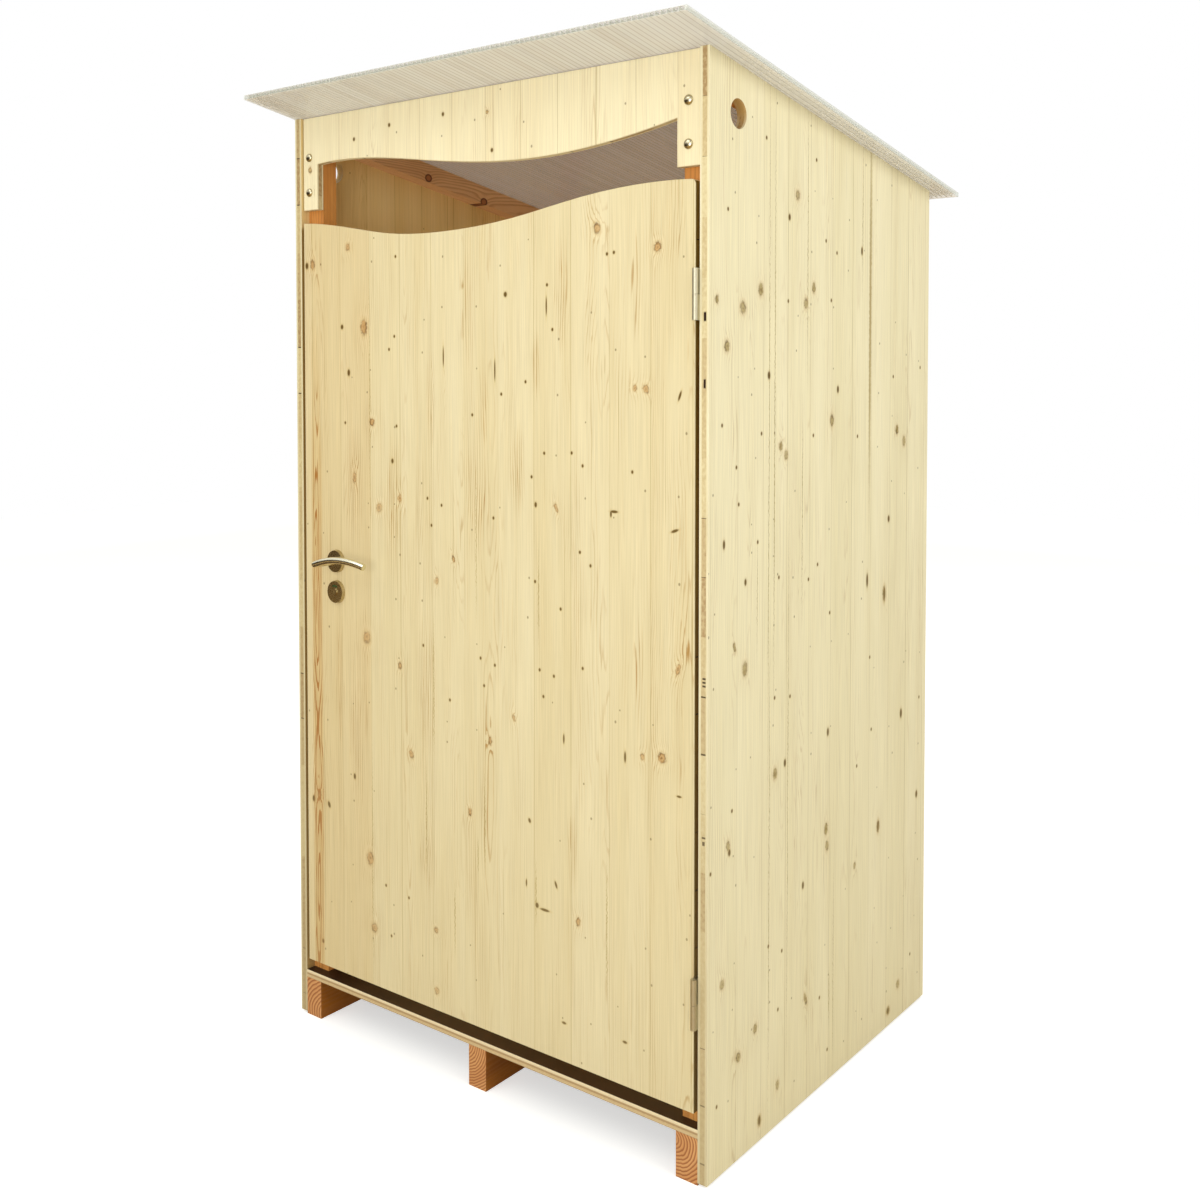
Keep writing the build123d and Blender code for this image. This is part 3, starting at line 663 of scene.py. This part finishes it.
door_pins = [
    (-546, 1805, 4.5, 7), (-424, 1658, 4, 5), (81, 1714, 4, 5), (-402, 1552, 4, 7), (-535, 532, 4, 7),
    (-480, 528, 4, 7, 20), (365, 1277, 8, 2.5), (357, 1272, 2, 6), (509, 1249, 8, 2.5, 20),
    (192, 1686, 1.6, 17), (51, 1556, 1.6, 20), (-99, 1586, 1.6, 19), (237, 805, 2, 9), (392, 795, 2.2, 10),
    (520, 1506, 2.2, 9, -20), (186, 439, 11, 2.6), (165, 444, 4, 5), (216, 499, 2.5, 7, 20),
    (136, 485, 1.8, 7), (520, 741, 5, 2), (237, 217, 5, 2.5), (392, 225, 5, 2.5), (145, 618, 3, 4.5, 20),
    (-259, 1353, 3.4, 5), (163, 1279, 3, 5), (-390, 612, 3.4, 6), (-505, 193, 3.4, 5),
] + round_pins(
    (-149, 1275), (-106, 1262), (-137, 1216), (46, 1244), (279, 1190), (306, 1165), (161, 1120),
    (229, 1070), (-164, 947), (8, 941), (49, 931), (173, 938), (211, 930), (286, 956), (18, 883),
    (183, 884), (-83, 837), (-415, 1436), (-245, 1432), (-251, 1633), (-268, 1604), (-246, 1811),
    (194, 1729), (208, 1638), (69, 1506), (136, 1532), (-14, 1461), (186, 1386), (258, 1389), (286, 1364),
    (409, 1357), (152, 1336), (347, 1783), (364, 1785), (-287, 379), (-213, 368), (-270, 266),
)
door_pitch = [
    (-332, 1500, 1.2, 330), (-331, 420, 1.6, 300), (-4, 1180, 1.0, 190), (170, 1090, 1.2, 110),
    (-132, 860, 1.6, 170), (-156, 553, 1.7, 140), (19, 589, 1.9, 115), (-1, 510, 1.5, 40),
    (162, 465, 1.6, 74), (-70, 354, 1.5, 89), (347, 439, 1.6, 142),
]
door_flames = [
    (-517, 700, 22, 900), (-154, 846, 32, 190), (-154, 466, 29, 75), (-439, 828, 15, 170),
    (28, 665, 24, 230), (-352, 826, 14, 180), (425, 970, 12, 120), (532, 1035, 22, 60), (260, 584, 15, 90),
    (-381, 720, 28, 220), (-138, 1486, 14, 120), (18, 1475, 14, 100), (164, 1567, 12, 70),
    (231, 1712, 20, 120), (-2, 1286, 46, 130), (-386, 1292, 34, 150), (418, 1721, 14, 100),
    (112, 1350, 24, 90), (-257, 1235, 32, 170), (-29, 1714, 20, 130),
]
spruce_panel(
    "planed spruce, door", "door_panel", 0, -528, 3.0, "#dccfa7", "#d5c598", 1.0, inward=1,
    knots=door_knots, pins=door_pins, pitch=door_pitch, flames=door_flames,
    # The crack round the door is painted dark here: painted shade in the narrow gap.
    knot_tone="#f2e4d8", crack_shade_tint="#958145", heart=(-517, -498, -332),
)

# %% [markdown]
# The right wall stood in the sun, so it is paler and its grain fainter. Two long pitch lines run down
# it side by side. Its front edge is seen end on, so the voids between the strips of the cross layer are
# placed where they show. A void's first number counts along the edge: how far back plus how high.

# %% Right wall
wall_knots = [
    (-160, 1914, 8.3, 10), (-307, 1713, 9.2, 13), (-374, 1675, 11, 12), (-467, 1687, 5.5, 8),
    (-432, 1600, 9.2, 11), (-90, 1728, 7.4, 11), (-124, 1695, 8.3, 12), (-6, 1449, 8.3, 14),
    (-225, 1402, 6.4, 10), (-204, 1383, 7.4, 10), (320, 1418, 7.4, 11), (359, 1390, 8.3, 12),
    (-401, 1020, 4.6, 10, 20), (-362, 972, 9.2, 14), (-243, 737, 8.3, 12), (-422, 640, 6.4, 11),
    (-22, 563, 7.4, 13), (-17, 525, 7.4, 11), (-442, 376, 7.4, 10), (-318, 241, 7.4, 10),
    (-382, 210, 8.3, 10, 20), (-110, 222, 5.5, 14, 20), (-228, 88, 6.4, 10), (-300, 46, 7.4, 11),
    (258, 1039, 8.3, 18), (234, 500, 7.4, 14), (294, 41, 10.1, 10), (348, 85, 8.3, 10), (115, 442, 5.5, 8),
]
wall_pins = [
    (-194, 1866, 4, 6), (-274, 1545, 4.5, 7), (-440, 1223, 3.6, 8), (-361, 1142, 3.6, 6), (21, 1515, 4, 7),
    (-16, 774, 4, 8), (-203, 750, 4, 7), (-124, 471, 4, 7), (279, 1212, 4.5, 7), (-417, 625, 4, 6),
    (446, 522, 5, 8), (354, 740, 5, 10), (132, 1822, 3.5, 8), (169, 1081, 4, 14), (-300, 46, 4, 8),
    (294, 41, 5, 6), (234, 500, 3, 12), (258, 1039, 3, 15),
] + round_pins(
    (-448, 1450), (-302, 1430), (-396, 1368), (-387, 1296), (-315, 1216), (-67, 1144), (-231, 1136),
    (-107, 1117), (-11, 1033), (-183, 884), (-246, 893), (-408, 704), (-484, 603), (-267, 390), (-212, 362),
    (-227, 245), (-48, 202), (-11, 73), (-460, 145), (-287, 2013), (-429, 1859), (-81, 1996), (-37, 1831),
    (13, 1809), (-198, 1696), (-12, 1706), (448, 1565), (298, 1543),
    (185, 903), (195, 735), (123, 667), (457, 759), (416, 135), (-89, 1419), (116, 1410), size=2.7,
)
wall_pitch = [
    (-272, 1440, 1.5, 800), (-250, 1480, 1.7, 700), (-116, 1840, 1.5, 330), (-135, 1260, 1.2, 260),
    (-191, 700, 1.3, 660), (-266, 520, 1.4, 560), (136, 1900, 1.6, 190), (176, 1700, 7, 500),
    (14, 240, 1.3, 270), (-4, 190, 1.8, 70), (-316, 1110, 1.2, 130),
]
edge_voids = [
    (1160, 576, 9, 3), (1035, 575.5, 9, 2.6), (481, 576, 2, 4), (474, 576, 2, 4), (467, 576, 2, 4),
    (179, 576, 2, 4.5), (168, 575.5, 4, 3),
]
vent_middle = (-392.4, 2043.2)
spruce_panel(
    "planed spruce, right wall", "right_wall", 1, -199, 5.0, "#f2e8c2", "#eadfb5", 0.68, 96.0, inward=-1,
    knot_tone="#d6e2d8", knots=wall_knots, pins=wall_pins, pitch=wall_pitch, voids=edge_voids, vent=vent_middle,
)

# %% [markdown]
# The header is a calm board with a few pins. The left and back walls are seen from inside through the
# gap, and get no placed marks but those of the cell pattern.

# %% Header, left wall and back wall
spruce_panel(
    "planed spruce, header", "header_panel", 0, -468, 8.0, "#eadfb9", "#e5d7ae", 0.6, inward=1,
    knots=[(-538, 2031, 6, 8), (27, 2099, 4, 5)],
    pins=round_pins((-385, 2087), (-269, 2106), (-102, 2110), (40, 2018), size=3.2),
    pitch=[(-524, 1979, 0.9, 16)],
)
spruce_panel(
    "planed spruce, left wall", "left_wall", 1, -190, 11.0, "#efdfb2", "#e6d3a0", 0.9, 96.0, inward=1,
    # The crack beside the door is painted dark here too: painted shade in the narrow gap.
    rim_tint="#e9ece8", crack_shade_tint="#bcaa88", vent=vent_middle,
)
spruce_panel("planed spruce, back wall", "back_wall", 0, -480, 14.0, "#efdfb2", "#e6d3a0", 0.9, inward=-1)

# %% [markdown]
# ## Sawn pine framing
# Posts, rafters, rail and runners are sawn from pine with much red heartwood. Here the year rings
# are cut on all sides at once: arcs on the sawn ends, stripes on the long sides. A ring pattern
# measured in three dimensions round a pith line gives both for nothing, as long as the pith lies along the
# piece. It is drawn off centre, because small sections are sawn from the side of a log. The rings
# are 4 to 7 mm apart, as the sawn ends of the runners show.

# %% Pine, as a shader group
pine, entry, out = new_group(
    "sawn pine",
    {
        "Place": "Vector", "Ends": "Float", "Spacing": "Float", "Knot": "Float", "Seed": "Float",
        "Pale": "Color", "Red": "Color",
    },
    {"Color": "Color", "Height": "Float"},
)
seed = entry.outputs["Seed"]
spot = add(pine, "SeparateXYZ", (entry.outputs["Place"],))
x, y, length = spot.outputs
x = add(pine, "Math", (x, drift(pine, y, 60, length, 420, seed, 5, 2.0)))
y = add(pine, "Math", (y, drift(pine, x, 60, length, 520, seed, 5, 2.0)))
radius = add(pine, "VectorMath", (add(pine, "CombineXYZ", (x, y)),), operation="LENGTH").outputs[1]
push = add(pine, "Math", (entry.outputs["Knot"], -0.6), operation="MULTIPLY")
push = add(pine, "Math", (add(pine, "Math", (push,), operation="EXPONENT"), 12.0), operation="MULTIPLY")
radius = add(pine, "Math", (radius, push))
radius = add(pine, "Math", (radius, drift(pine, x, 7, length, 110, seed, 0.7, 2.0)))
ring = add(pine, "Math", (radius, entry.outputs["Spacing"]), operation="DIVIDE")
ring = add(pine, "Math", (ring,), operation="FRACT")
late_wood = ((0.0, grey(0.05)), (0.4, grey(0.1)), (0.7, grey(1)), (0.92, grey(1)), (1.0, grey(0.1)))
late = add(pine, "ValToRGB", (ring,), stops=late_wood)
tone = drift(pine, radius, 26, length, 300, seed, 0.5, 2.0)
tone = add(pine, "Math", (tone, 0.5), use_clamp=True)
long_side = add(pine, "MixRGB", (tone, entry.outputs["Pale"], entry.outputs["Red"]))
late_share = add(pine, "Math", (late, 0.42), operation="MULTIPLY")
long_side = add(pine, "MixRGB", (late_share, long_side, linear("#99602f")))
sawn_end = add(pine, "MixRGB", (tone, linear("#d29c62"), linear("#c0864f")))
late_share = add(pine, "Math", (late, 0.8), operation="MULTIPLY")
sawn_end = add(pine, "MixRGB", (late_share, sawn_end, linear("#8a4d26")))
colour = add(pine, "MixRGB", (entry.outputs["Ends"], long_side, sawn_end))
knot_shades = (
    (0.0, linear("#a86b3e")), (0.62, linear("#9a5f36")), (0.8, linear("#2b1a10")), (1.0, linear("#6a4024")),
)
knot_mask = add(pine, "MapRange", (entry.outputs["Knot"], 1.15, 0.95, 0.0, 0.95))
knot_colour = add(pine, "ValToRGB", (entry.outputs["Knot"],), stops=knot_shades)
colour = add(pine, "MixRGB", (knot_mask, colour, knot_colour))
pine.links.new(colour.outputs[0], out.inputs["Color"])
pine.links.new(late.outputs[0], out.inputs["Height"])
print("pine group", len(pine.nodes), "shader nodes")

# %% [markdown]
# Each timber gets the group with its own pith, colours and ring spacing. The runners are whole heartwood,
# and their colours are painted darker still, as painted shade under the floor. The arcs on each sawn end
# tell where its pith lay. The left rafter shows through the gap, its colours are painted paler than the
# other timbers', as painted light for the dim room, and its two knots are placed.


# %% Posts, rafters, rail and runners
def sawn_pine(node, axis, pith, seed, spacing=4.6, pale="#de9f53", red="#c67f38", knots=(), knot_axis=0):
    """The finish of a timber that runs along axis. Pith is the log's middle, in mm from the section's."""
    material, tree, shader = new_material("sawn pine, " + node.replace("_", " "))
    low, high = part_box(node)
    centre = (low + high) / 2 / MM
    place, normal = own_place(tree)
    around = [
        add(tree, "Math", (place[n], centre[n] + off_middle), operation="SUBTRACT")
        for n, off_middle in zip([n for n in range(3) if n != axis], pith)
    ]
    around = add(tree, "CombineXYZ", (*around, place[axis]))
    flat_place = add(tree, "CombineXYZ", (place[axis], place[knot_axis]))
    wood = add(tree, "Group", {
        "Place": around, "Ends": looks_along(tree, normal[axis], 0.7), "Spacing": spacing, "Seed": seed,
        "Knot": mark_field(tree, flat_place, knots), "Pale": linear(pale), "Red": linear(red),
    }, node_tree=pine)
    bump = add(tree, "Bump", {"Strength": 0.3, "Distance": 0.0008, "Height": wood.outputs["Height"]})
    tree.links.new(wood.outputs["Color"], shader.inputs["Base Color"])
    tree.links.new(bump.outputs[0], shader.inputs["Normal"])
    shader.inputs["Roughness"].default_value = 0.7
    shader.inputs["Specular IOR Level"].default_value = 0.3
    finish_node(node, material)


for number, (node, axis, pith) in enumerate([
    ("front_left_post", 2, (30, 44)), ("front_right_post", 2, (-34, 40)), ("rear_left_post", 2, (28, -40)),
    ("rear_right_post", 2, (-36, -30)), ("rear_rail", 0, (30, -34)), ("right_rafter", 1, (-24, -44)),
]):
    sawn_pine(node, axis, pith, 1.3 * number)
rafter_knots = [(-111, 2056, 12, 10), (100, 2017, 13, 10)]
# The left rafter's colours are painted paler than the other timbers': painted light for the dim room it sits
# in.
sawn_pine("left_rafter", 1, (-34, -46), 20.0, 4.6, "#e6bc8c", "#d2a474", rafter_knots, 2)
for number, (node, pith, spacing) in enumerate([
    ("left_runner", (48, -36), 8.5), ("middle_runner", (-45, 50), 6.0), ("right_runner", (-32, 26), 6.8),
]):
    # The runners' colours are painted dark: red heartwood, with painted shade under the floor.
    sawn_pine(node, 1, pith, 3.7 * number, spacing, "#a8640d", "#85490a")
print("sawn pine on 10 timbers")

# %% [markdown]
# ## Floor
# The floor is a sheet of film-faced plywood, the brown board that trailers are floored with. Its face is
# a smooth dark resin film. Its cut edge is bare and shows the veneers. Real ones are about 1.5 mm thick and
# would blur to one tone here, so they are drawn as a few bands: pale under the top film, then brown, then
# tan, with the dark line of the lower film.

# %% Film-faced plywood
plywood, tree, shader = new_material("film-faced plywood")
low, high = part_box("floor_board")
place, normal = own_place(tree)
run = add(tree, "Math", (place[0], place[1]))
wave = drift(tree, run, 90, place[2], 40, 2.0, 0.6, 2.0)
veneer = add(tree, "Math", (place[2], wave))
veneer = add(tree, "MapRange", (veneer, low.z / MM, high.z / MM))
veneer_bands = (
    (0.0, linear("#9a7a4c")), (0.1, linear("#cdb384")), (0.38, linear("#c9ae7c")), (0.44, linear("#a4845a")),
    (0.6, linear("#b39466")), (0.66, linear("#dcc79a")), (0.9, linear("#ead9b0")), (1.0, linear("#e2cfa4")),
)
veneer = add(tree, "ValToRGB", (veneer,), stops=veneer_bands)
fleck = drift(tree, run, 6, place[2], 0.9, 5.0, 0.14, 2.0)
veneer = add(tree, "VectorMath", {0: veneer, "Scale": add(tree, "Math", (fleck, 0.91))}, operation="SCALE")
upward = looks_along(tree, normal[2], 0.7)
film_wear = drift(tree, place[0], 70, place[1], 70, 1.0, 0.5, 4.0)
film_wear = add(tree, "Math", (film_wear, 0.4), use_clamp=True)
film = add(tree, "MixRGB", (film_wear, linear("#24130a"), linear("#352013")))
colour = add(tree, "MixRGB", (upward, veneer, film))
tree.links.new(colour.outputs[0], shader.inputs["Base Color"])
rough = add(tree, "MapRange", (upward, 0.0, 1.0, 0.75, 0.42))
tree.links.new(rough.outputs[0], shader.inputs["Roughness"])
finish_node("floor_board", plywood)
print("plywood floor", [round(c / MM) for c in high - low])

# %% [markdown]
# ## Twin-wall roof sheet
# The roof is extruded polycarbonate: two thin skins with a web every 12.6 mm. Clear plastic that is
# ribbed on the inside looks frosted, because the webs scatter what comes through. A rough, partly
# transmitting shader with the plastic's own index of 1.58 gives that without tracing every cell. The
# webs show as fine stripes down the slope, a little darker than the skin between them. The skins
# themselves are glossy, so that a low view along the underside mirrors the top of the header. Over the
# room the sheet is a little darker and cooler.

# %% Polycarbonate sheet
sheet, tree, shader = new_material("twin-wall polycarbonate")
low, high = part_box("roof_sheet")
place, normal = own_place(tree)
web_pitch = 12.6
stripe = add(tree, "Math", (place[0], 1 / web_pitch), operation="MULTIPLY")
channel = add(tree, "CombineXYZ", (add(tree, "Math", (stripe,), operation="FLOOR"), 0.5))
channel = add(tree, "TexWhiteNoise", {"Vector": channel}).outputs["Value"]
stripe = add(tree, "Math", (add(tree, "Math", (stripe,), operation="FRACT"), 0.5), operation="SUBTRACT")
stripe = add(tree, "Math", (stripe,), operation="ABSOLUTE")
band = drift(tree, place[0], 30, place[1], 900, 4.0, 0.5, 2.0)
tint = add(tree, "Math", (band, 0.5), use_clamp=True)
tint = add(tree, "MixRGB", (tint, linear("#fffbf4"), linear("#faf2e6")))
tint = add(tree, "MixRGB", (add(tree, "MapRange", (channel, 0.6, 1.0, 0.0, 0.16)), tint, linear("#b5aa98")))
tint = add(tree, "MixRGB", (add(tree, "MapRange", (stripe, 0.38, 0.45, 0.0, 0.5)), tint, linear("#9a9082")))
half_room, room_front = 560.0, -500.0
off_middle = add(tree, "Math", (place[0],), operation="ABSOLUTE")
between_walls = add(tree, "MapRange", (off_middle, half_room + 6, half_room))
behind_header = add(tree, "MapRange", (place[1], room_front, room_front + 10))
over_room_tone = add(tree, "Math", (between_walls, behind_header), operation="MULTIPLY")
tint = add(tree, "MixRGB", (over_room_tone, tint, linear("#eeebf0")), blend_type="MULTIPLY")
tint = add(tree, "MixRGB", (looks_along(tree, normal[2], 0.6), linear("#dbdfd2"), tint))
tree.links.new(tint.outputs[0], shader.inputs["Base Color"])
shader.inputs["Roughness"].default_value = 0.14
shader.inputs["IOR"].default_value = 1.58
shader.inputs["Alpha"].default_value = 0.46
finish_node("roof_sheet", sheet)
print("roof sheet", [round(c / MM) for c in high - low])

# %% [markdown]
# ## Steel
# The levers and roses are stainless steel, brushed to a satin and warm grey beside the wood. The hinges are
# plain zinc-plated steel, duller and flatter. The lock works are bright zinc-plated. A metal's colour is in
# its reflection, so each has metallic 1 and differs in roughness and tone. A fine noise in the roughness
# stands for the brushing, whose true lines of a tenth of a millimetre are too fine to show.


# %% Metals
def metal(name, tone, roughness, grain_mm, spread):
    """A plain metal with a fine uneven brushing."""
    material, tree, shader = new_material(name)
    spot = add(tree, "TexCoord").outputs["Object"]
    noise = add(tree, "TexNoise", {"Vector": spot, "Scale": 1000 / grain_mm, "Detail": 3.0})
    rough = add(tree, "MapRange", (noise, 0.3, 0.7, roughness - spread, roughness + spread))
    tree.links.new(rough.outputs[0], shader.inputs["Roughness"])
    cloud = add(tree, "TexNoise", {"Vector": spot, "Scale": 90.0, "Detail": 2.0})
    dark = tuple(c * 0.86 for c in linear(tone)[:3]) + (1.0,)
    tree.links.new(add(tree, "MixRGB", (cloud, linear(tone), dark)).outputs[0], shader.inputs["Base Color"])
    shader.inputs["Metallic"].default_value = 1.0
    return material


lever_steel = metal("brushed stainless steel, levers", "#ebe6cb", 0.24, 0.8, 0.03)
rose_steel = metal("brushed stainless steel, roses", "#c7b995", 0.27, 0.8, 0.035)
hinge_steel = metal("zinc-plated hinge steel", "#c4bfa6", 0.5, 1.5, 0.08)
lock_steel = metal("bright zinc-plated steel", "#a8a69f", 0.34, 1.2, 0.08)
bolt_steel = metal("polished zinc-plated steel", "#c2b898", 0.22, 1.0, 0.04)
for node in nodes:
    if node.endswith("_lever"):
        finish_node(node, lever_steel)
    elif node.endswith("_rose") or node in ("release_button", "thumb_turn"):
        finish_node(node, rose_steel)
    elif "_hinge_" in node:
        finish_node(node, hinge_steel)
    elif node.startswith("lock_") or node.endswith(("_bolt", "_spindle")):
        finish_node(node, lock_steel)
print("metals set;", [n for n in nodes if not nodes[n].data.materials[0]], "left over")

# %% [markdown]
# The disc behind the window of the lower rose is enamelled in two colours. Green lies at the top and shows
# at rest. Red lies at the left and comes to the window when the snib is turned.

# %% Indicator disc
enamel, tree, shader = new_material("enamelled indicator disc")
centre = sum(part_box("indicator_disc"), Vector()) / 2
spot = add(tree, "VectorMath", (add(tree, "TexCoord").outputs["Object"], tuple(centre)), operation="SUBTRACT")
spot = add(tree, "SeparateXYZ", (spot,))
left = add(tree, "Math", (spot.outputs[0], -1.0), operation="MULTIPLY")
left = add(tree, "Math", (left, spot.outputs[2]), operation="GREATER_THAN")
colour = add(tree, "MixRGB", (left, linear("#3c5228"), linear("#9a2a1e")))
tree.links.new(colour.outputs[0], shader.inputs["Base Color"])
shader.inputs["Roughness"].default_value = 0.3
finish_node("indicator_disc", enamel)
print("indicator disc at", [round(c, 3) for c in centre])

# %% [markdown]
# ## Coach bolts
# Two M8 coach bolts on each side hold the header to the posts. The head is a low polished dome 20 mm wide
# with a thin rim. A real one is forged, so it is a body of revolution: its half section is turned round
# the bolt's axis. Behind the post each bolt ends in a washer and a hexagon nut.


# %% Turned parts
def turned(name, profile, place, outward, material, segments=40):
    """A body of revolution from (radius, height) in mm, whose axis points along outward from place."""
    mesh = bpy.data.meshes.new(name)
    shape = bmesh.new()
    rings = []
    for radius, height in profile:
        if radius == 0:
            rings.append([shape.verts.new((0, 0, height * MM))])
        else:
            turn = [2 * math.pi * n / segments for n in range(segments)]
            ring = [(radius * MM * math.cos(a), radius * MM * math.sin(a), height * MM) for a in turn]
            rings.append([shape.verts.new(place) for place in ring])
    for lower, upper in zip(rings, rings[1:]):
        for n in range(segments):
            m = (n + 1) % segments
            corners = [
                lower[n % len(lower)], lower[m % len(lower)], upper[m % len(upper)], upper[n % len(upper)],
            ]
            shape.faces.new(list(dict.fromkeys(corners)))
    bmesh.ops.recalc_face_normals(shape, faces=shape.faces)
    for face in shape.faces:
        face.smooth = True
    for line in shape.edges:
        line.smooth = line.is_boundary or line.calc_face_angle(0) < math.radians(40)
    shape.to_mesh(mesh)
    shape.free()
    mesh.materials.append(material)
    piece = bpy.data.objects.new(name, mesh)
    turn = Vector((0, 0, 1)).rotation_difference(Vector(outward)).to_matrix().to_4x4()
    mesh.transform(Matrix.Translation(Vector(place)) @ turn)
    bpy.context.scene.collection.objects.link(piece)
    return piece


header_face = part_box("header_panel")[0].y
post_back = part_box("front_left_post")[1].y
dome_arc = [(10 * math.sin(a), 0.9 + 4.7 * math.cos(a)) for a in (0.25, 0.5, 0.75, 1.0, 1.25, 1.5)]
dome = [(0, 5.6), *dome_arc, (10, 0.0), (0, 0.0)]
washer = [(4.2, 0), (8, 0), (8, 1.4), (4.2, 1.4)]
nut = [(4.2, 1.4), (7.4, 1.4), (7.5, 1.8), (7.5, 7.4), (6.6, 7.9), (4.2, 7.9)]
shank = [(4, -2), (4, 10.5), (3.4, 11.5), (0, 11.5)]
for number, (x, z) in enumerate([(-540, 2060), (-540, 1978), (535, 2060), (535, 1978)], 1):
    at_front, at_back = (x * MM, header_face, z * MM), (x * MM, post_back, z * MM)
    pieces = [
        turned(f"coach_bolt_head_{number}", dome, at_front, (0, -1, 0), bolt_steel),
        turned(f"coach_bolt_end_{number}", shank, at_back, (0, 1, 0), lock_steel, 24),
        turned(f"coach_bolt_washer_{number}", washer, at_back, (0, 1, 0), lock_steel),
        turned(f"coach_bolt_nut_{number}", nut, at_back, (0, 1, 0), lock_steel, 6),
    ]
    for piece in pieces:
        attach(piece, "cabin")
print("coach bolts", number)
